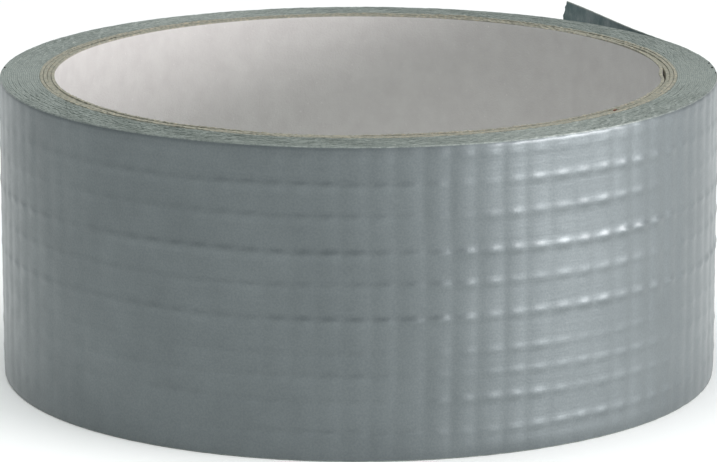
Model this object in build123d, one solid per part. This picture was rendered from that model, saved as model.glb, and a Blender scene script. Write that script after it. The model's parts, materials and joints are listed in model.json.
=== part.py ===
"""Cloth-backed adhesive tape wound on a paperboard core, lying flat, with its free end lifted off the roll.

Units are millimetres. The axis of the roll is +Z, and the origin is the centre of the core's bore, in the
face that the roll lies on. +X points to the right and +Y to the back. Angles are in degrees,
counter-clockwise from +X, seen from above, and the tape runs outwards counter-clockwise.
"""

import math
import os

from build123d import *

# ---------------------------------------------------------------- driving dimensions
TAPE_WIDTH = 38.0  # also the length of the core
BORE_RADIUS = 38.1  # a core of 76.2 mm bore
TURNS = 20  # turns of tape on the core, the last one not quite whole

# Plies of the core, from the bore outwards: name, thickness, angle of its seam at the bottom face.
CORE_PLIES = [
    ("core_liner_ply", 0.45, 205.0),
    ("core_inner_board_ply", 0.50, 20.0),
    ("core_outer_board_ply", 0.50, 110.0),
    ("core_wrap_ply", 0.45, 310.0),
]
PLY_STRIP_WIDTH = 125.0  # paper strip that each ply is wound from
SEAM_GAP = 0.35  # between the edges of the strip, along the circumference

# Layers of the tape, from the sticky face outwards: name, thickness.
TAPE_LAYERS = [("adhesive", 0.12), ("scrim", 0.05), ("film", 0.08)]

# The tape's inner end makes a step that every later turn climbs over.
START_ANGLE = 134.0  # where the inner end of the tape lies on the core
STEP_SPAN = 16.0  # angle over which a turn climbs the step

# The free end of the tape.
LIFT_ANGLE = 26.0  # where the last turn leaves the roll
LIFT_RUN = 5.0  # straight stretch from there to the first bend
SEGMENT_LENGTH = 5.4  # from one bend to the next
TAIL_BENDS = [3.0, 2.0, 1.0, -0.5, -2.0]  # how far each bend turns the tape outwards at rest
PEEL_GAP = 0.35  # room for the first bend, which folds the tape back by 90 degrees
CURL_GAP = 0.15  # room for each later bend

# Torn end: height as a share of the tape's width, and reach past the end's nominal place.
TEAR = [(0.0, -0.7), (0.12, 0.0), (0.2, -0.25), (0.38, 0.15), (0.5, -0.1)]
TEAR += [(0.66, 0.35), (0.8, 0.2), (0.945, 0.7), (1.0, -0.6)]

# ---------------------------------------------------------------- derived sizes
CORE_RADIUS = BORE_RADIUS + sum(thickness for _, thickness, _ in CORE_PLIES)
TAPE_THICKNESS = sum(thickness for _, thickness in TAPE_LAYERS)
LAST_RADIUS = CORE_RADIUS + (TURNS - 1) * TAPE_THICKNESS  # inner face of the last turn
CUT_MARGIN = 1.0  # how far a cutting shape passes the faces it cuts


def polar(radius, angle):
    """The point at that radius and angle in the bottom face."""
    turned = math.radians(angle)
    return Vector(radius * math.cos(turned), radius * math.sin(turned), 0)


def save(shape, name):
    """Writes one sub-part to its own file."""
    shape.label = name
    export_step(shape, f"parts/{name}.step")


# ---------------------------------------------------------------- core
def ply(inner_radius, thickness, seam_angle):
    """A tube wound from one strip of paper, whose edges meet along a helix."""
    middle_radius = inner_radius + thickness / 2
    tube = Solid.make_cylinder(inner_radius + thickness, TAPE_WIDTH)
    tube -= Solid.make_cylinder(inner_radius, TAPE_WIDTH)

    circumference = 2 * math.pi * middle_radius
    pitch = circumference * math.tan(math.asin(PLY_STRIP_WIDTH / circumference))
    degrees_per_mm = 360 / pitch
    height = TAPE_WIDTH + 2 * CUT_MARGIN
    bottom = Location((0, 0, -CUT_MARGIN), (0, 0, seam_angle - CUT_MARGIN * degrees_per_mm))
    section = bottom * Pos(middle_radius, 0, 0) * Rectangle(thickness + 2 * CUT_MARGIN, SEAM_GAP)
    seam = Solid.extrude_linear_with_rotation(
        section.face(),
        center=(0, 0, -CUT_MARGIN),
        normal=(0, 0, height),
        angle=height * degrees_per_mm,
    )
    return tube - seam


def make_core():
    """Writes each ply of the core."""
    radius = BORE_RADIUS
    for name, thickness, seam_angle in CORE_PLIES:
        save(ply(radius, thickness, seam_angle), name)
        radius += thickness


# ---------------------------------------------------------------- wound tape
def wound_line(depth, begin, end):
    """The line in the bottom face that a surface at this depth in the tape follows, between two angles.

    Angles go on counting past 360. Each turn keeps its radius until the step, and climbs it along a
    flatter arc, up to the next turn's radius.
    """
    edges = []
    for turn in range(TURNS):
        radius = CORE_RADIUS + turn * TAPE_THICKNESS + depth
        turn_start = START_ANGLE + 360 * turn
        step = turn_start + 360 - STEP_SPAN
        arc_start = max(turn_start, begin)
        arc_end = min(step, end)
        if arc_start < arc_end:
            middle = (arc_start + arc_end) / 2
            ends = polar(radius, arc_start), polar(radius, arc_end)
            edges.append(Edge.make_three_point_arc(ends[0], polar(radius, middle), ends[1]))
        if begin <= step and step + STEP_SPAN <= end:
            halfway = polar(radius + TAPE_THICKNESS / 2, step + STEP_SPAN / 2)
            next_turn = polar(radius + TAPE_THICKNESS, step + STEP_SPAN)
            edges.append(Edge.make_three_point_arc(polar(radius, step), halfway, next_turn))
    return edges


def between(inner, outer):
    """The solid between two lines of edges in the bottom face, as tall as the tape is wide."""
    closing = [Edge.make_line(inner[0] @ 0, outer[0] @ 0), Edge.make_line(inner[-1] @ 1, outer[-1] @ 1)]
    return Solid.extrude(Face(Wire(inner + outer + closing)), Vector(0, 0, TAPE_WIDTH))


def make_wound_tape():
    """Writes the buried turns, and the last full turn with the straight run by which it leaves the roll."""
    last_turn_end = LIFT_ANGLE + 360 * TURNS
    last_turn_start = last_turn_end - 360
    away = Vector(-math.sin(math.radians(LIFT_ANGLE)), math.cos(math.radians(LIFT_ANGLE)), 0)
    depth = 0
    for name, thickness in TAPE_LAYERS:
        buried = [wound_line(d, START_ANGLE, last_turn_start) for d in (depth, depth + thickness)]
        save(between(*buried), f"wound_{name}")
        outer = [wound_line(d, last_turn_start, last_turn_end) for d in (depth, depth + thickness)]
        for line in outer:
            line.append(Edge.make_line(line[-1] @ 1, (line[-1] @ 1) + away * (LIFT_RUN - PEEL_GAP / 2)))
        save(between(*outer), f"outer_turn_{name}")
        depth += thickness


# ---------------------------------------------------------------- free end of the tape
def make_tail():
    """Writes each layer of the straight segments that the free end is made of, which meet at its bends."""
    hinge = polar(LAST_RADIUS + TAPE_THICKNESS / 2, LIFT_ANGLE)
    heading = LIFT_ANGLE
    length = LIFT_RUN
    for number, bend in enumerate(TAIL_BENDS, start=1):
        hinge += length * Vector(-math.sin(math.radians(heading)), math.cos(math.radians(heading)), 0)
        heading -= bend
        length = SEGMENT_LENGTH
        along = Vector(-math.sin(math.radians(heading)), math.cos(math.radians(heading)), 0)
        outwards = Vector(math.cos(math.radians(heading)), math.sin(math.radians(heading)), 0)
        print(f"hinge {number}: {hinge.X:.4f}, {hinge.Y:.4f}, heading {heading:.2f}")

        start = (PEEL_GAP if number == 1 else CURL_GAP) / 2
        if number < len(TAIL_BENDS):
            end = [(SEGMENT_LENGTH - CURL_GAP / 2, 0), (SEGMENT_LENGTH - CURL_GAP / 2, TAPE_WIDTH)]
        else:
            end = [(SEGMENT_LENGTH + reach, share * TAPE_WIDTH) for share, reach in TEAR]
        outline = [(start, 0), *end, (start, TAPE_WIDTH)]

        depth = -TAPE_THICKNESS / 2
        for name, thickness in TAPE_LAYERS:
            face = Plane(origin=hinge + outwards * depth, x_dir=along, z_dir=outwards) * make_face(
                Polyline(*outline, close=True)
            )
            save(Solid.extrude(face.face(), outwards * thickness), f"tail_{name}_{number}")
            depth += thickness


os.makedirs("parts", exist_ok=True)
make_core()
make_wound_tape()
make_tail()
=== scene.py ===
import json
import math

import bmesh
import bpy
import numpy as np
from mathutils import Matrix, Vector


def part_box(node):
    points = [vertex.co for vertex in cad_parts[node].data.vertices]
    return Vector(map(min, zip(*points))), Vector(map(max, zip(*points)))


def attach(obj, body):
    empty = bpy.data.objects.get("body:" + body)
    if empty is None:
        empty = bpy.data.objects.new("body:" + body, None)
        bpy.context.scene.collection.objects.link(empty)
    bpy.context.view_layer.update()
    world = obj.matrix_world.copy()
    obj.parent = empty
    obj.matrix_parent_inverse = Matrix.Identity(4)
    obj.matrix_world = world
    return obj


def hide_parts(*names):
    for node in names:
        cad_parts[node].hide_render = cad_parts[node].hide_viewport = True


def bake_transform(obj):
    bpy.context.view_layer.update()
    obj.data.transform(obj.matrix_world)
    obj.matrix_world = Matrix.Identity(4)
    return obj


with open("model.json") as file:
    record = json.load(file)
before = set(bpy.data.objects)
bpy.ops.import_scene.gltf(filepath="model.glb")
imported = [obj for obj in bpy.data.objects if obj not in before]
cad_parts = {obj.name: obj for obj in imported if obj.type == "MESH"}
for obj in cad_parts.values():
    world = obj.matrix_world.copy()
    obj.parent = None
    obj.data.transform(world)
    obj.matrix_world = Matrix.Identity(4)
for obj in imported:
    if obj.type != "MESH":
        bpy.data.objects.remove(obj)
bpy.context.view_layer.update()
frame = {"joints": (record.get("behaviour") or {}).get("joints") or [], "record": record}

# A roll of duct tape in metres, its axis along +Z. The tape is worked out in its own coordinates: the
# distance along it from the place where it leaves the roll, the height across it, and the depth in it.

MM = 0.001

# ---------------------------------------------------------------- sizes that the frame holds
record = frame["record"]
BORE_RADIUS = next(m["dims"]["r_mm"] for m in record["mounts"] if m["name"] == "core_bore") * MM
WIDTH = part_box("core_liner_ply")[1].z
HINGES = [Vector(joint["pos_m"]).xy for joint in frame["joints"]]

# ---------------------------------------------------------------- sizes that repeat the CAD model's
PLIES = [  # CAD node, thickness, angle of its seam at the bottom face
    ("core_liner_ply", 0.45 * MM, math.radians(205)),
    ("core_inner_board_ply", 0.50 * MM, math.radians(20)),
    ("core_outer_board_ply", 0.50 * MM, math.radians(110)),
    ("core_wrap_ply", 0.45 * MM, math.radians(310)),
]
STRIP_WIDTH = 125 * MM  # of the paper that each ply is wound from
SEAM_GAP = 0.35 * MM  # between the strip's edges
LAYERS = {  # where in the tape's thickness each layer begins and ends, from the sticky face
    "adhesive": (0, 0.12 * MM),
    "scrim": (0.12 * MM, 0.17 * MM),
    "film": (0.17 * MM, 0.25 * MM),
}
TAPE = 0.25 * MM
TURNS = 20
START_ANGLE = math.radians(134)  # where the tape's inner end lies on the core
STEP_SPAN = math.radians(16)  # over which each turn climbs the step that this end makes
TIP_TURN = math.radians(2)  # how far the last bend turns the tape inwards
# Torn end: height as a share of the tape's width, and reach past the end's nominal place in mm.
TEAR = [(0.0, -0.7), (0.12, 0.0), (0.2, -0.25), (0.38, 0.15), (0.5, -0.1)]
TEAR += [(0.66, 0.35), (0.8, 0.2), (0.945, 0.7), (1.0, -0.6)]

CORE_RADIUS = BORE_RADIUS + sum(thickness for _, thickness, _ in PLIES)
LAST_RADIUS = CORE_RADIUS + (TURNS - 1) * TAPE
MIDDLE_RADIUS = LAST_RADIUS + TAPE / 2
LIFT_RUN = math.sqrt(HINGES[0].length_squared - MIDDLE_RADIUS**2)
LIFT_ANGLE = math.atan2(HINGES[0].y, HINGES[0].x) - math.atan2(LIFT_RUN, MIDDLE_RADIUS)
SEGMENT = (HINGES[1] - HINGES[0]).length
SEGMENT_MIDDLES = [LIFT_RUN / 2] + [LIFT_RUN + (k + 0.5) * SEGMENT for k in range(len(HINGES))]
TIP = LIFT_RUN + len(HINGES) * SEGMENT  # the free end's nominal length
LAST_TURN = MIDDLE_RADIUS * 2 * math.pi  # its length

# ---------------------------------------------------------------- the cloth's threads
# They show through the film: wefts cross the tape, and warps run along it.
WEFT_PITCH = 3.2 * MM
STRONG_WARPS = {  # height in mm: how far it raises the film, in mm
    3.3: 0.12,
    7.1: 0.11,
    10.1: 0.10,
    12.9: 0.08,
    17.0: 0.19,
    21.1: 0.13,
    25.0: 0.21,
    29.4: 0.12,
    33.2: 0.14,
    36.7: 0.07,
}
WARP_PITCH = 1.4  # mm, between the weak warps
WARP_WIDTH = 0.56 * MM
WEFT_SAMPLES = [0, 0.12, 0.25, 0.38, 0.52, 0.7, 0.87]  # the mesh's columns, as shares of a pitch
STRONG_SAMPLES = [-0.85, -0.6, -0.4, -0.2, 0, 0.2, 0.4, 0.6, 0.85]  # its rows, in mm from a warp's height
WEAK_SAMPLES = [-0.3, 0, 0.3]
EDGE_SAMPLES = [0, 0.07 * MM, 0.2 * MM]  # its rows, from either edge of the tape
CLOSEST_COLUMN = 0.05 * MM
CLOSEST_ROW = 0.09 * MM
PILLOW = 0.028 * MM  # how far the film sinks at a weft and swells between two
FILM_LOOSENESS = 0.03 * MM  # keeps even the lowest place of the film clear of the scrim
CALM_START = -88 * MM  # from here back along the tape, the relief weakens
CALM_LENGTH = 35 * MM  # over which it does
PRESSED_PAST_TIP = 9 * MM  # how far past the free end's tip it presses the turn below flat
EDGE_PINCH = 0.4 * MM  # how far from its edge the tape gets thinner


# ---------------------------------------------------------------- smooth random curves
def wander(x, wavelength, seed):
    """A smooth curve of height about one that doesn't repeat, whose waves are about that long."""
    rng = np.random.default_rng(seed)
    total = 0
    for share in (0.5, 0.8, 1.3, 2.1):
        turned = 2 * math.pi * share * rng.uniform(0.85, 1.15) / wavelength
        total = total + np.sin(turned * x + rng.uniform(0, 2 * math.pi)) / math.sqrt(share)
    return total / 2


def mottle(x, y, wavelength, seed):
    """The same over a surface."""
    rng = np.random.default_rng(seed)
    waves = 9
    total = 0
    for _ in range(waves):
        turned = rng.uniform(0, 2 * math.pi)
        size = 2 * math.pi * rng.uniform(0.6, 1.6) / wavelength
        along = math.cos(turned) * x + math.sin(turned) * y
        total = total + np.sin(size * along + rng.uniform(0, 2 * math.pi))
    return total / math.sqrt(waves)


# ---------------------------------------------------------------- threads
def spread_wefts():
    """The distances along the tape of the threads that cross it."""
    rng = np.random.default_rng(5)
    numbers = np.arange(-math.ceil(LAST_TURN / WEFT_PITCH) - 2, math.ceil(TIP / WEFT_PITCH) + 2)
    return (numbers + rng.uniform(-0.07, 0.07, len(numbers))) * WEFT_PITCH


def spread_warps():
    """The threads that run along the tape: height, how far each raises the film, and if it is strong."""
    rng = np.random.default_rng(6)
    found = []
    bounds = [0.4, *STRONG_WARPS, WIDTH / MM]
    for low, high in zip(bounds, bounds[1:]):
        if low in STRONG_WARPS:
            found.append((low * MM, STRONG_WARPS[low] * MM, True))
        weak = max(round((high - low) / WARP_PITCH), 1)
        for height in np.linspace(low, high, weak + 1)[1:-1]:
            found.append((height * MM, rng.uniform(0.008, 0.022) * MM, False))
    return found


WEFTS = spread_wefts()
WARPS = spread_warps()


def columns(begin, end):
    """Distances along the tape from begin to end, denser at each weft."""
    places = [a + (b - a) * share for a, b in zip(WEFTS, WEFTS[1:]) for share in WEFT_SAMPLES]
    inside = [place for place in places if begin + CLOSEST_COLUMN < place < end - CLOSEST_COLUMN]
    return np.array([begin, *inside, end])


def rows():
    """Heights across the tape, denser at each warp and at the edges."""
    places = []
    for height, _, strong in WARPS:
        samples = STRONG_SAMPLES if strong else WEAK_SAMPLES
        places += [height + offset * MM for offset in samples]
    kept = list(EDGE_SAMPLES)
    for place in sorted(places):
        if kept[-1] + CLOSEST_ROW < place < WIDTH - 0.3 * MM:
            kept.append(place)
    return np.array(kept + [WIDTH - sample for sample in reversed(EDGE_SAMPLES)])


def between_wefts(s, z):
    """Where each place lies between its two wefts, which aren't quite straight: 0 at one, 1 at the next."""
    s_moved = s - 0.14 * MM * wander(z, 30 * MM, 1)
    after = np.clip(np.searchsorted(WEFTS, s_moved), 1, len(WEFTS) - 1)
    left, right = WEFTS[after - 1], WEFTS[after]
    return (s_moved - left) / (right - left)


def warp_ridges(s, z, share):
    """How far the warps raise the film: over each a dash from weft to weft, steeper towards the next one."""
    dash = np.clip(share * 1.25, 0, 1) * np.clip((1 - share) * 2.2, 0, 1)
    dash = 0.25 + 0.75 * dash * dash * (3 - 2 * dash)
    height = 0
    for number, (warp, lift, _) in enumerate(WARPS):
        line = warp + 0.08 * MM * wander(s, 45 * MM, 20 + number)
        uneven = lift * (1 + 0.3 * wander(s, 25 * MM, 80 + number))
        height = height + uneven * np.exp(-(((z - line) / WARP_WIDTH) ** 2)) * dash
    return height


def relief(s, z):
    """How far the film stands out over its plain thickness: pillows between wefts, and the warps' ridges."""
    share = between_wefts(s, z)
    strength = 1 + 0.35 * mottle(s, z, 14 * MM, 2)
    pillows = -PILLOW * strength * (np.cos(2 * math.pi * share) + 0.25 * np.cos(4 * math.pi * share))
    sway = 0.012 * MM * mottle(s, z, 22 * MM, 3)
    height = pillows + warp_ridges(s, z, share) + FILM_LOOSENESS + sway
    calm = 1 - 0.45 * np.clip((CALM_START - s) / CALM_LENGTH, 0, 1)
    from_start = s + LAST_TURN
    under_free_end = np.clip((TIP + PRESSED_PAST_TIP - from_start) / (8 * MM), 0, 1)
    return height * calm * (1 - 0.4 * under_free_end)


def squeeze(z):
    """The tape's thickness as a share of its full one, which falls to a half at its two edges."""
    edge = np.minimum(z, WIDTH - z)
    return 1 - 0.5 * np.clip(1 - edge / EDGE_PINCH, 0, 1) ** 1.5


# ---------------------------------------------------------------- the tape's line
def wound_radius(turned):
    """Radius of the tape's sticky face at an angle that goes on counting from turn to turn."""
    turn = np.floor((turned - START_ANGLE) / (2 * math.pi))
    within = (turned - START_ANGLE) - turn * 2 * math.pi
    climb = np.clip((within - 2 * math.pi + STEP_SPAN) / STEP_SPAN, 0, 1)
    return CORE_RADIUS + (turn + climb) * TAPE


def out_of_round(turned, radius):
    """How far the wound tape stands off a true circle, growing from the core outwards."""
    share = (radius - CORE_RADIUS) / (TURNS * TAPE)
    wave = np.sin(2 * turned + 0.7) + 0.7 * np.sin(3 * turned + 2.1) + 0.4 * np.sin(7 * turned)
    return 0.05 * MM * share * wave


def make_free_line():
    """Distances, points and headings of the free end's middle line, smoothly bent from hinge to hinge."""
    headings = [math.atan2(a.x - b.x, b.y - a.y) for a, b in zip(HINGES, HINGES[1:])]
    headings = [LIFT_ANGLE, LIFT_ANGLE, *headings, headings[-1] + TIP_TURN]
    s = np.linspace(0, TIP + 3 * MM, 1200)
    heading = np.interp(s, [0, *SEGMENT_MIDDLES], headings)
    step = s[1] - s[0]
    middle = (heading[1:] + heading[:-1]) / 2
    x = MIDDLE_RADIUS * math.cos(LIFT_ANGLE) - np.concatenate([[0], np.cumsum(np.sin(middle))]) * step
    y = MIDDLE_RADIUS * math.sin(LIFT_ANGLE) + np.concatenate([[0], np.cumsum(np.cos(middle))]) * step
    return s, x, y, heading


FREE_LINE = make_free_line()


def tape_points(s, z, depth):
    """Places of points of the last turn and the free end, given in the tape's own coordinates."""
    s, z, depth = np.broadcast_arrays(s, z, depth)
    line_s, line_x, line_y, line_heading = FREE_LINE
    heading = np.interp(s, line_s, line_heading)
    out = depth - TAPE / 2
    free = (
        np.interp(s, line_s, line_x) + out * np.cos(heading),
        np.interp(s, line_s, line_y) + out * np.sin(heading),
    )
    turned = LIFT_ANGLE + s / MIDDLE_RADIUS
    # The last turn is perfectly round where the tape lifts, and where the free end can lie on it.
    settle = np.clip(-s / (15 * MM), 0, 1) * np.clip((s + LAST_TURN - TIP) / (25 * MM), 0, 1)
    radius = wound_radius(turned + 2 * math.pi * TURNS) + depth
    radius = radius + out_of_round(turned, LAST_RADIUS) * settle
    wound = radius * np.cos(turned), radius * np.sin(turned)
    on_roll = s < 0
    return np.stack([np.where(on_roll, w, f) for w, f in zip(wound, free)] + [z], axis=-1)


# ---------------------------------------------------------------- meshes
def grid_faces(index):
    """The four-cornered faces of a grid of vertices."""
    corners = [index[:-1, :-1], index[1:, :-1], index[1:, 1:], index[:-1, 1:]]
    return np.stack(corners, axis=-1).reshape(-1, 4)


def slab(name, front, back, uv_front, uv_back):
    """A closed sheet between two grids of points, which have the same columns and may differ in rows.

    Columns follow each other along the tape, rows rise, and the front is the side away from the axis.
    """
    f = np.arange(front.shape[0] * front.shape[1]).reshape(front.shape[:2])
    b = f.size + np.arange(back.shape[0] * back.shape[1]).reshape(back.shape[:2])
    top = np.stack([f[:-1, -1], f[1:, -1], b[1:, -1], b[:-1, -1]], axis=-1)
    bottom = np.stack([f[1:, 0], f[:-1, 0], b[:-1, 0], b[1:, 0]], axis=-1)
    quads = np.concatenate([grid_faces(f), grid_faces(b)[:, ::-1], top, bottom])
    caps = [[*f[0], *b[0, ::-1]], [*b[-1], *f[-1, ::-1]]]
    points = np.concatenate([front.reshape(-1, 3), back.reshape(-1, 3)])
    mesh = bpy.data.meshes.new(name)
    mesh.from_pydata(points.tolist(), [], quads.tolist() + caps)
    uv = np.concatenate([uv_front.reshape(-1, 2), uv_back.reshape(-1, 2)])
    corners = np.empty(len(mesh.loops), np.int32)
    mesh.loops.foreach_get("vertex_index", corners)
    mesh.uv_layers.new(name="tape").data.foreach_set("uv", uv[corners].astype(np.float32).ravel())
    mesh.polygons.foreach_set("use_smooth", [True] * len(mesh.polygons))
    mesh.set_sharp_from_angle(angle=math.radians(42))
    return placed(name, mesh)


def placed(name, data):
    """A new object in the scene, with that mesh, light or camera."""
    made = bpy.data.objects.new(name, data)
    bpy.context.scene.collection.objects.link(made)
    return made


def coordinates(s, z):
    """Places on the tape, as texture coordinates."""
    s, z = np.broadcast_arrays(s, z)
    return np.stack([s, z], axis=-1)


def ring_points(radius, turned, z):
    """Points at a radius and an angle about the roll's axis, at a height."""
    return np.stack(np.broadcast_arrays(radius * np.cos(turned), radius * np.sin(turned), z), axis=-1)


# ---------------------------------------------------------------- materials
def new_material(name, **sockets):
    """A material with uniform values set on its shader. Returns it with its tree and shader."""
    made = bpy.data.materials.new(name)
    made.use_nodes = True
    shader = made.node_tree.nodes["Principled BSDF"]
    for socket, value in sockets.items():
        shader.inputs[socket.replace("_", " ")].default_value = value
    return made, made.node_tree, shader


def feed(tree, socket, value):
    """Links an input to another node's output, or gives it a value."""
    if isinstance(value, bpy.types.NodeSocket):
        tree.links.new(value, socket)
    else:
        socket.default_value = value


def node(tree, kind, settings=None, **inputs):
    """A node with its settings and inputs."""
    made = tree.nodes.new("ShaderNode" + kind)
    for key, value in (settings or {}).items():
        setattr(made, key, value)
    for key, value in inputs.items():
        feed(tree, made.inputs[key.replace("_", " ")], value)
    return made


def place_of(tree):
    """The position on the object."""
    return node(tree, "TexCoord").outputs["Object"]


def tape_place(tree, along, across):
    """The place along and across the tape, stretched by a factor each way."""
    uv = node(tree, "UVMap", {"uv_map": "tape"}).outputs["UV"]
    return node(tree, "Mapping", Vector=uv, Scale=(along, across, 1)).outputs["Vector"]


def noise(tree, vector, size, detail=3.0, roughness=0.5):
    """Noise whose blotches are about that many metres wide."""
    made = node(tree, "TexNoise", Vector=vector, Scale=1 / size, Detail=detail, Roughness=roughness)
    return made.outputs["Fac"]


def ramp(tree, value, *stops):
    """A colour that changes with a value, from stop to stop."""
    made = node(tree, "ValToRGB", Fac=value)
    elements = made.color_ramp.elements
    while len(elements) < len(stops):
        elements.new(0.5)
    for element, (position, colour) in zip(elements, stops):
        element.position = position
        element.color = (*colour, 1)
    return made.outputs["Color"]


def scaled(tree, value, low, high):
    """A value from noise's usual range brought to another range."""
    made = node(tree, "MapRange", Value=value, From_Min=0.3, From_Max=0.7, To_Min=low, To_Max=high)
    return made.outputs["Result"]


def math_node(tree, operation, *values):
    """The result of an operation on sockets or numbers."""
    made = node(tree, "Math", {"operation": operation})
    for socket, value in zip(made.inputs, values):
        feed(tree, socket, value)
    return made.outputs["Value"]


def blended(tree, mode, share, first, second):
    """Two colours mixed. The node's factor and its two colours are its inputs 0, 6 and 7."""
    made = node(tree, "Mix", {"data_type": "RGBA", "blend_type": mode})
    for number, value in ((0, share), (6, first), (7, second)):
        feed(tree, made.inputs[number], value)
    return made.outputs[2]


def bump(tree, shader, height, distance):
    """Gives a shader a fine relief, as high as that distance where the height is one."""
    made = node(tree, "Bump", Height=height, Distance=distance, Strength=1.0)
    tree.links.new(made.outputs["Normal"], shader.inputs["Normal"])


def cut_edge(tree, place, face, edge):
    """The face's colour, and another one on the cut edges at the roll's top and bottom."""
    height = node(tree, "SeparateXYZ", Vector=place).outputs["Z"]
    from_middle = math_node(tree, "ABSOLUTE", math_node(tree, "SUBTRACT", height, WIDTH / 2))
    near_edge = node(
        tree, "MapRange", Value=from_middle, From_Min=WIDTH / 2 - 0.16 * MM, From_Max=WIDTH / 2 - 0.08 * MM
    )
    return blended(tree, "MIX", near_edge.outputs["Result"], face, edge)


def film_material():
    """Silver-grey polyethylene: satin, with fine flecks, and faintly streaked along the tape."""
    made, tree, shader = new_material("silver_film", Metallic=0.6, Coat_Weight=0.35, Coat_Roughness=0.2)
    place = place_of(tree)
    blotches = noise(tree, place, 9 * MM, 4)
    base = ramp(tree, blotches, (0.3, (0.142, 0.166, 0.171)), (0.7, (0.164, 0.19, 0.195)))
    flecks = ramp(tree, noise(tree, place, 0.22 * MM, 2), (0.35, (0.86, 0.87, 0.88)), (0.65, (1, 1, 1)))
    face = blended(tree, "MULTIPLY", 1.0, base, flecks)
    fibres = noise(tree, place, 0.45 * MM, 4, 0.7)
    edge = ramp(tree, fibres, (0.35, (0.18, 0.212, 0.198)), (0.65, (0.375, 0.412, 0.385)))
    tree.links.new(cut_edge(tree, place, face, edge), shader.inputs["Base Color"])
    tree.links.new(scaled(tree, noise(tree, place, 3 * MM, 4), 0.42, 0.52), shader.inputs["Roughness"])
    streaks = noise(tree, tape_place(tree, 0.08, 1), 0.35 * MM, 2)
    bump(tree, shader, math_node(tree, "ADD", streaks, noise(tree, place, 0.3 * MM, 3)), 0.012 * MM)
    return made


def adhesive_material():
    """Grey-green natural-rubber adhesive: tacky, uneven, a little shiny. Its sticky face is painted a darker
    teal than its cut edges: partly the rubber's own tone, partly painted shade.
    """
    made, tree, shader = new_material("rubber_adhesive", Specular_IOR_Level=0.4)
    place = place_of(tree)
    # The sticky face's dark teal is partly the rubber's own tone and partly painted shade; the same rubber
    # on the cut edges stays lighter.
    base = ramp(
        tree,
        noise(tree, place, 1.2 * MM, 4, 0.6),
        (0.3, (0.045, 0.098, 0.102)),
        (0.55, (0.075, 0.135, 0.138)),
        (0.75, (0.13, 0.19, 0.188)),
    )
    fibres = noise(tree, place, 0.4 * MM, 4, 0.7)
    edge = ramp(tree, fibres, (0.3, (0.125, 0.156, 0.143)), (0.7, (0.32, 0.347, 0.316)))
    tree.links.new(cut_edge(tree, place, base, edge), shader.inputs["Base Color"])
    tree.links.new(scaled(tree, noise(tree, place, 2 * MM, 3), 0.38, 0.62), shader.inputs["Roughness"])
    bump(tree, shader, noise(tree, place, 0.35 * MM, 4, 0.6), 0.04 * MM)
    return made


def scrim_material():
    """Pale cotton and polyester threads."""
    made, tree, shader = new_material("scrim_threads", Roughness=0.85)
    place = place_of(tree)
    blotches = noise(tree, place, 0.6 * MM, 3)
    base = ramp(tree, blotches, (0.3, (0.27, 0.305, 0.3)), (0.7, (0.47, 0.5, 0.47)))
    tree.links.new(base, shader.inputs["Base Color"])
    bump(tree, shader, noise(tree, place, 0.12 * MM, 2), 0.03 * MM)
    return made


def paper_material(name, dark, light, fleck, fleck_share, grain):
    """Paper or board: a felt of fibres, with flecks of another colour. A higher share gives more flecks."""
    made, tree, shader = new_material(name, Roughness=0.92, Specular_IOR_Level=0.25)
    place = place_of(tree)
    base = ramp(tree, noise(tree, place, 2.4 * MM, 5, 0.6), (0.3, dark), (0.7, light))
    spots = noise(tree, place, 0.55 * MM, 3, 0.65)
    mask = ramp(tree, spots, (1 - fleck_share, (0, 0, 0)), (1.12 - fleck_share, (1, 1, 1)))
    face = blended(tree, "MIX", mask, base, (*fleck, 1))
    fibres = noise(tree, place, 0.5 * MM, 4, 0.7)
    edge = ramp(
        tree,
        fibres,
        (0.35, (0.19, 0.195, 0.163)),
        (0.55, (0.30, 0.29, 0.24)),
        (0.7, (0.43, 0.37, 0.265)),
    )
    tree.links.new(cut_edge(tree, place, face, edge), shader.inputs["Base Color"])
    bump(tree, shader, noise(tree, place, grain, 4, 0.65), 0.05 * MM)
    return made


MATERIALS = {
    "film": film_material(),
    "adhesive": adhesive_material(),
    "scrim": scrim_material(),
    "core_liner_ply": paper_material(
        "liner_paper", (0.53, 0.515, 0.505), (0.58, 0.57, 0.555), (0.64, 0.625, 0.61), 0.36, 0.25 * MM
    ),
    "core_inner_board_ply": paper_material(
        "grey_board", (0.25, 0.245, 0.20), (0.36, 0.34, 0.275), (0.42, 0.33, 0.20), 0.42, 0.2 * MM
    ),
    "core_outer_board_ply": paper_material(
        "grey_board_outer", (0.22, 0.235, 0.20), (0.33, 0.33, 0.28), (0.40, 0.31, 0.19), 0.40, 0.2 * MM
    ),
    "core_wrap_ply": paper_material(
        "kraft_paper", (0.21, 0.215, 0.18), (0.31, 0.29, 0.22), (0.16, 0.12, 0.08), 0.36, 0.2 * MM
    ),
}


def finished(piece, kind):
    """Gives a piece its material."""
    piece.data.materials.append(MATERIALS[kind])
    return piece


# ---------------------------------------------------------------- core
PLY_COLUMNS = 760
LINER_ROWS, BOARD_ROWS = 40, 26
END_SAMPLES = [0, 0.05 * MM, 0.16 * MM, 0.5 * MM]  # rows near either end of the core
CUT_ZONE = 1.5 * MM  # how far from its ends the core's cut moves the plies
TOP_OFFSETS = [0.02, -0.07, 0.0, 0.05]  # how far each ply stands over the core's length, in mm


def ply_grid(rows_between, middle, seam_angle):
    """Heights and angles of a ply's points, from one edge of its helical seam round to the other."""
    between = np.linspace(1.2 * MM, WIDTH - 1.2 * MM, rows_between)
    z = np.array([*END_SAMPLES, *between, *(WIDTH - sample for sample in reversed(END_SAMPLES))])[None, :]
    share = np.linspace(0, 1, PLY_COLUMNS)[:, None]
    around = 2 * math.pi * middle
    pitch = around * math.tan(math.asin(STRIP_WIDTH / around))
    gap = SEAM_GAP / middle
    turned = seam_angle + z / pitch * 2 * math.pi + gap / 2 + share * (2 * math.pi - gap)
    return z, turned, share * around


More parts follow.
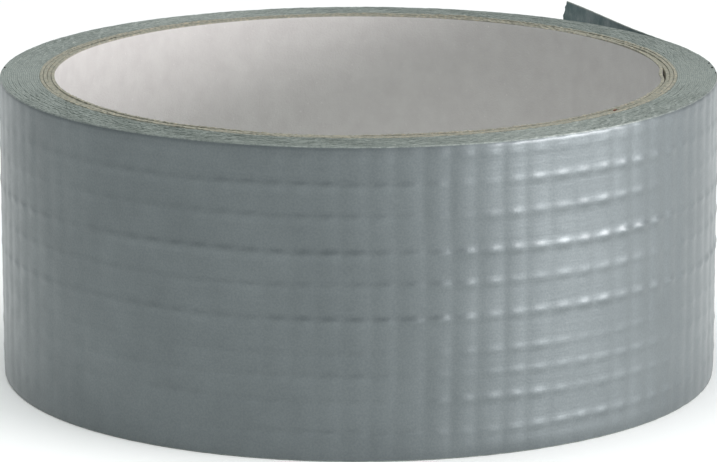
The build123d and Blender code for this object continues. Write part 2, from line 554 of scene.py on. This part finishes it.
def come_off(turned, z):
    """How far the liner has come off the board: at the right, over a few millimetres at the top."""
    off_centre = np.degrees(np.angle(np.exp(1j * (turned + math.radians(2)))))
    near_top = np.clip((z - WIDTH + 7 * MM) / (7 * MM), 0, 1)
    return 0.42 * MM * np.exp(-((off_centre / 4.5) ** 2)) * near_top**2


def make_ply(number, node_name, inner, thickness, seam_angle):
    """A ply wound from a strip of paper, with soft, uneven cut ends."""
    rng = np.random.default_rng(100 + number)
    is_liner = number == 0
    middle = inner + thickness / 2
    z, turned, from_seam = ply_grid(LINER_ROWS if is_liner else BOARD_ROWS, middle, seam_angle)

    edge = np.minimum(z, WIDTH - z)
    softness = 0.03 * MM * np.clip(1 - edge / (0.16 * MM), 0, 1) ** 2
    fuzz = rng.normal(0, 0.03 * MM, turned.shape) * (edge < 0.2 * MM)
    lift = (0.05 * wander(turned * middle, 25 * MM, 110 + number) + TOP_OFFSETS[number]) * MM
    near_top = np.clip((z - WIDTH + CUT_ZONE) / CUT_ZONE, 0, 1)
    near_bottom = np.clip(1 - z / CUT_ZONE, 0, 1)
    cut = z + near_top * lift + near_bottom * np.abs(lift) + np.where(edge < 0.01 * MM, fuzz, 0)

    inner_radius = inner + softness + np.abs(fuzz) * 0.5
    outer_radius = inner + thickness - softness - np.abs(fuzz) * 0.5
    if is_liner:
        waves = 0.03 * MM * mottle(turned * middle, z, 16 * MM, 130)
        curl = 0.1 * MM * np.exp(-from_seam / (1.5 * MM))  # one edge of the seam stands up a little
        inner_radius = inner_radius - come_off(turned, z) - waves * 0.5 - curl
        outer_radius = outer_radius - come_off(turned, z) - curl * 0.8

    uv = coordinates(turned * middle, z)
    faces = [ring_points(radius, turned, np.maximum(cut, 0)) for radius in (outer_radius, inner_radius)]
    piece = slab(node_name.replace("core_", "paper_"), *faces, uv, uv)
    finished(piece, node_name)
    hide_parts(node_name)
    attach(piece, "roll")


def make_core():
    """The four plies, from the bore outwards."""
    inner = BORE_RADIUS
    for number, (node_name, thickness, seam_angle) in enumerate(PLIES):
        make_ply(number, node_name, inner, thickness, seam_angle)
        inner += thickness


# ---------------------------------------------------------------- wound tape and free end
BURIED_STEP = WEFT_PITCH / 9  # between two columns of the buried turns
TEAR_REACH = {"film": 0, "scrim": 0.05 * MM, "adhesive": -0.06 * MM}  # past the tear's outline


def edge_lift(turned, layer, top):
    """How far a layer's cut edge stands over the roll's top, or over its bottom.

    The angle goes on counting from turn to turn.
    """
    seed = 200 if top else 250
    along = turned * MIDDLE_RADIUS
    drift = 0.03 * wander(along, 420 * MM, seed)
    if layer == "film":
        own = 0.02 * wander(along, 6 * MM, seed + 1) + 0.02 * wander(along, 1.1 * MM, seed + 2)
    elif layer == "adhesive":
        own = -0.03 + 0.03 * wander(along, 4 * MM, seed + 3) + 0.03 * wander(along, 1.3 * MM, seed + 4)
    else:
        threads = np.abs((along / WEFT_PITCH) % 1 - 0.5) * 2
        own = -0.03 + 0.05 * np.clip(threads * 3.2 - 2.2, 0, 1) * (1 + wander(along, 7 * MM, seed + 5))
    lift = 0.65 * (drift + own) * MM
    return lift if top else np.maximum(lift + 0.05 * MM, 0)


def make_buried_turns(layer):
    """All turns under the last one, as one strip."""
    deep, high = LAYERS[layer]
    end = LIFT_ANGLE + 2 * math.pi * (TURNS - 1)
    count = int((end - START_ANGLE) * MIDDLE_RADIUS / BURIED_STEP)
    turned = np.linspace(START_ANGLE, end, count)[:, None]
    cut = np.hstack([edge_lift(turned, layer, False), WIDTH + edge_lift(turned, layer, True)])

    def points(depth):
        radius = wound_radius(turned) + depth
        return ring_points(radius + out_of_round(turned, radius), turned, cut)

    uv = coordinates(turned * MIDDLE_RADIUS, np.array([[0, WIDTH]]))
    piece = slab(f"buried_{layer}", points(high), points(deep), uv, uv)
    finished(piece, layer)
    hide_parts(f"wound_{layer}")
    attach(piece, "roll")


def torn_end(layer, z):
    """Distance along the tape at which a layer ends, where it was torn off."""
    torn = np.interp(z / WIDTH, [share for share, _ in TEAR], [far for _, far in TEAR]) * MM
    ragged = 0.10 * MM * wander(z, 1.7 * MM, 300) + 0.05 * MM * wander(z, 0.6 * MM, 301)
    return TIP + torn + ragged + TEAR_REACH[layer]


def uneven_heights(layer, s, z):
    """Heights across the tape, with its edges a little off the roll's plain top and bottom."""
    turned = LIFT_ANGLE + s / MIDDLE_RADIUS + 2 * math.pi * TURNS
    fade = np.clip(1 - s / (20 * MM), 0.15, 1)
    top = np.clip((z - WIDTH + CUT_ZONE) / CUT_ZONE, 0, 1) * edge_lift(turned, layer, True) * fade
    bottom = np.clip(1 - z / CUT_ZONE, 0, 1) * edge_lift(turned, layer, False) * fade
    return z + top + bottom


def stretch(name, layer, begin, end, is_torn=False):
    """One layer of the last turn or the free end, from one distance along the tape to another.

    The film's outer face and the free end's sticky face carry the threads' relief.
    """
    deep, high = LAYERS[layer]
    is_sticky_face = layer == "adhesive" and begin > 0
    s = columns(begin, end)[:, None]
    full = rows()[None, :]
    plain = np.array([[0, WIDTH]])

    def reach(z):
        """The stretch's distances along the tape at those heights."""
        last = torn_end(layer, z) if is_torn else end
        return begin + (s - begin) / (end - begin) * (last - begin)

    front_z = full if layer == "film" else plain
    front_s, front_z = np.broadcast_arrays(reach(front_z), front_z)
    front_depth = (high + (relief(front_s, front_z) if layer == "film" else 0)) * squeeze(front_z)
    front = tape_points(front_s, uneven_heights(layer, front_s, front_z), front_depth)

    back_z = full if is_sticky_face else plain
    back_s, back_z = np.broadcast_arrays(reach(back_z), back_z)
    back_depth = deep * squeeze(back_z)
    if is_sticky_face:
        back_depth = back_depth - 0.25 * relief(back_s, back_z)
    back = tape_points(back_s, uneven_heights(layer, back_s, back_z), back_depth)

    piece = slab(name, front, back, coordinates(front_s, front_z), coordinates(back_s, back_z))
    return finished(piece, layer)


def make_last_turn(layer):
    """The last full turn, and the first half of the straight run by which it leaves the roll."""
    piece = stretch(f"last_turn_{layer}", layer, -LAST_TURN, SEGMENT_MIDDLES[0])
    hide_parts(f"outer_turn_{layer}")
    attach(piece, "roll")


def make_free_end(layer):
    """The free end in stretches from the middle of one CAD segment to the middle of the next."""
    bodies = ["roll"] + [f"tail_{number}" for number in range(1, len(HINGES) + 1)]
    for number, (begin, end) in enumerate(zip(SEGMENT_MIDDLES, SEGMENT_MIDDLES[1:]), start=1):
        piece = stretch(f"free_end_{layer}_{number}", layer, begin, end)
        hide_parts(f"tail_{layer}_{number}")
        ends = [Vector(tape_points(place, WIDTH / 2, TAPE / 2)) for place in (begin, end)]
        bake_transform(piece)
    tip = stretch(f"free_end_{layer}_torn", layer, SEGMENT_MIDDLES[-1], TIP, is_torn=True)
    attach(tip, bodies[-1])


# ---------------------------------------------------------------- specks
SPECKS = [  # the record's material, radius in mm, angle in degrees, length and width in mm
    ("kraft_paper", 39.2, -38, 1.1, 0.28),
    ("tape_adhesive", 44.7, 3, 0.5, 0.3),
    ("tape_adhesive", 44.75, 6.5, 0.35, 0.25),
    ("tape_adhesive", 44.8, -1.5, 0.3, 0.2),
    ("tape_adhesive", 44.7, 177, 0.45, 0.25),
]
SPECK_COLOURS = {"kraft_paper": (0.16, 0.05, 0.025), "tape_adhesive": (0.02, 0.022, 0.02)}
SPECK_HEIGHTS = [-0.06, 0.05, 0.13]  # mm from the roll's top: buried foot, widest ring, narrower crown
SPECK_CORNERS = 9


def speck_material(name, colour):
    """A rough crumb, darker in blotches."""
    made, tree, shader = new_material(name, Roughness=0.8)
    grain = noise(tree, place_of(tree), 0.15 * MM, 3)
    dark = tuple(0.5 * part for part in colour)
    tree.links.new(ramp(tree, grain, (0.35, dark), (0.65, colour)), shader.inputs["Base Color"])
    return made


def speck_mesh(name, rng, radius, angle, length, width):
    """A chip lying on the top face, its length around the roll."""
    turned = math.radians(angle)
    along = np.array([-math.sin(turned), math.cos(turned)])
    out = np.array([math.cos(turned), math.sin(turned)])
    chip = bmesh.new()
    for height in SPECK_HEIGHTS:
        crown = 0.6 if height == SPECK_HEIGHTS[-1] else 1
        for corner in np.linspace(0, 2 * math.pi, SPECK_CORNERS, endpoint=False):
            narrow = crown * rng.uniform(0.75, 1.15)
            flat = out * radius + along * length / 2 * narrow * math.cos(corner)
            flat = flat + out * width / 2 * narrow * math.sin(corner)
            chip.verts.new((flat[0] * MM, flat[1] * MM, WIDTH + height * MM))
    bmesh.ops.convex_hull(chip, input=list(chip.verts))
    loose = [vertex for vertex in chip.verts if not vertex.link_faces]
    bmesh.ops.delete(chip, geom=loose, context="VERTS")
    mesh = bpy.data.meshes.new(name)
    chip.to_mesh(mesh)
    chip.free()
    return mesh


def make_specks():
    """Bits that stick to the top face: a torn fibre of the core, and crumbs on the tape's edge."""
    rng = np.random.default_rng(400)
    materials = {slot: speck_material(f"{slot}_speck", colour) for slot, colour in SPECK_COLOURS.items()}
    for number, (slot, *sizes) in enumerate(SPECKS, start=1):
        name = f"speck_{number}"
        piece = placed(name, speck_mesh(name, rng, *sizes))
        piece.data.materials.append(materials[slot])
        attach(piece, "roll")


# ---------------------------------------------------------------- stage, light and camera
def make_stage():
    """A pale floor that runs on to the horizon, in an even light."""
    mesh = bpy.data.meshes.new("floor")
    rim = [(4 * math.cos(a), 4 * math.sin(a), 0) for a in np.linspace(0, 2 * math.pi, 96, endpoint=False)]
    mesh.from_pydata(rim, [], [list(range(len(rim)))])
    floor = placed("floor", mesh)
    made, tree, shader = new_material("pale_floor", Roughness=0.8, Specular_IOR_Level=0.2)
    blotches = noise(tree, place_of(tree), 0.5, 2)
    tone = ramp(tree, blotches, (0.3, (0.94, 0.945, 0.95)), (0.7, (0.965, 0.965, 0.965)))
    tree.links.new(tone, shader.inputs["Base Color"])
    mesh.materials.append(made)

    world = bpy.data.worlds.new("studio")
    world.use_nodes = True
    background = world.node_tree.nodes["Background"]
    background.inputs["Color"].default_value = (0.93, 0.97, 1.0, 1)
    background.inputs["Strength"].default_value = 0.3
    bpy.context.scene.world = world


def add_light(name, azimuth, elevation, distance, size, power, colour):
    """A soft box aimed at the roll. Azimuth 0 is the camera's side, and it turns to the right."""
    data = bpy.data.lights.new(name, "AREA")
    data.shape = "RECTANGLE"
    data.size, data.size_y = size
    data.energy = power
    data.color = colour
    light = placed(name, data)
    a, e = math.radians(azimuth), math.radians(elevation)
    away = Vector((math.sin(a) * math.cos(e), -math.cos(a) * math.cos(e), math.sin(e)))
    light.location = Vector((0, 0, WIDTH / 2)) + away * distance
    light.rotation_euler = (-away).to_track_quat("-Z", "Y").to_euler()


def make_lights():
    """A low box at the right, which the threads' upper flanks reflect, and a wide one overhead."""
    add_light("key_from_the_right", 66, 7.5, 0.9, (0.62, 0.2), 7.9, (1.0, 0.955, 0.97))
    add_light("fill_from_above", 0, 85, 1.3, (1.2, 1.2), 18, (0.975, 1.0, 0.975))


def make_camera():
    """A long lens, a little over eleven degrees above the top face."""
    data = bpy.data.cameras.new("camera")
    camera = placed("camera", data)
    elevation = math.radians(11.28)
    distance = 0.566
    camera.location = (0, -distance * math.cos(elevation), WIDTH + distance * math.sin(elevation))
    aim = Vector((0, -0.0039, 0.0183))
    camera.rotation_euler = (aim - camera.location).to_track_quat("-Z", "Y").to_euler()
    data.sensor_width = 36
    data.lens = 226
    data.clip_start, data.clip_end = 0.01, 20
    bpy.context.scene.camera = camera


make_camera()
make_lights()
make_stage()
make_core()
for layer_name in LAYERS:
    make_buried_turns(layer_name)
    make_last_turn(layer_name)
    make_free_end(layer_name)
make_specks()
bpy.context.scene.view_settings.view_transform = "Standard"
